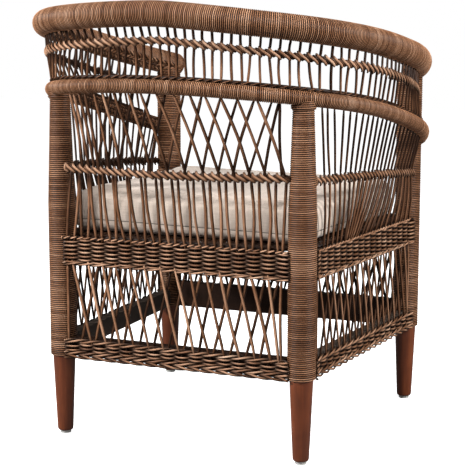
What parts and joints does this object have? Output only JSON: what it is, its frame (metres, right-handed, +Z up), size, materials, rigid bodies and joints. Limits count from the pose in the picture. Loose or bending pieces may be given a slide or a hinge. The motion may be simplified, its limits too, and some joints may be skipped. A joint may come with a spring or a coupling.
{
  "type": "tub armchair",
  "caption": "Low woven cane tub armchair with a horseshoe top rail that runs into the arms, lattice sides, bound posts on tapered wooden feet and a loose seat cushion.",
  "frame": {"origin": "on the floor, below the middle of the whole chair", "axes": "+Z up; the chair faces -Y; +X is the sitter's left"},
  "size_m": [0.6858, 0.6348, 0.7791],
  "materials": {
    "cane_binding": "satin",
    "cane_strands": "satin",
    "woven_cane": "satin",
    "turned_wood": "lacquered",
    "dark_board": "stained",
    "glide_plastic": "matte",
    "linen_cover": "woven",
    "seat_foam": "soft",
    "dowel_wood": "plain"
  },
  "bodies": {
    "frame": {"back_panel": "cane_strands", "base_band_back": "woven_cane", "base_band_front": "woven_cane", "base_band_left": "woven_cane", "base_band_right": "woven_cane", "base_rail_back": "dark_board", "base_rail_front": "dark_board", "base_rail_left": "dark_board", "base_rail_right": "dark_board", "binding_back_left": "cane_binding", "binding_back_right": "cane_binding", "binding_front_left": "cane_binding", "binding_front_right": "cane_binding", "dowel_back_left": "dowel_wood", "dowel_back_right": "dowel_wood", "dowel_front_left": "dowel_wood", "dowel_front_right": "dowel_wood", "gallery_back": "cane_strands", "gallery_left": "cane_strands", "gallery_right": "cane_strands", "glide_back_left": "glide_plastic", "glide_back_right": "glide_plastic", "glide_front_left": "glide_plastic", "glide_front_right": "glide_plastic", "lower_lattice_back": "cane_strands", "lower_lattice_front": "cane_strands", "lower_lattice_left": "cane_strands", "lower_lattice_right": "cane_strands", "lower_rail": "cane_binding", "pin_front_left": "dowel_wood", "pin_front_right": "dowel_wood", "post_back_left": "turned_wood", "post_back_right": "turned_wood", "post_front_left": "turned_wood", "post_front_right": "turned_wood", "seat_band_back": "woven_cane", "seat_band_front": "woven_cane", "seat_band_left": "woven_cane", "seat_band_right": "woven_cane", "seat_bearer_left": "dark_board", "seat_bearer_right": "dark_board", "seat_panel": "woven_cane", "seat_rail_back": "dark_board", "seat_rail_front": "dark_board", "seat_rail_left": "dark_board", "seat_rail_right": "dark_board", "side_panel_left": "cane_strands", "side_panel_right": "cane_strands", "top_rail": "cane_binding"},
    "cushion": {"cushion_cover": "linen_cover", "cushion_foam": "seat_foam"}
  },
  "joints": [
    {"name": "cushion_lift", "type": "slide", "parent": "frame", "child": "cushion", "axis": [0, 0, 1], "range_m": [0, 0.42]}
  ]
}
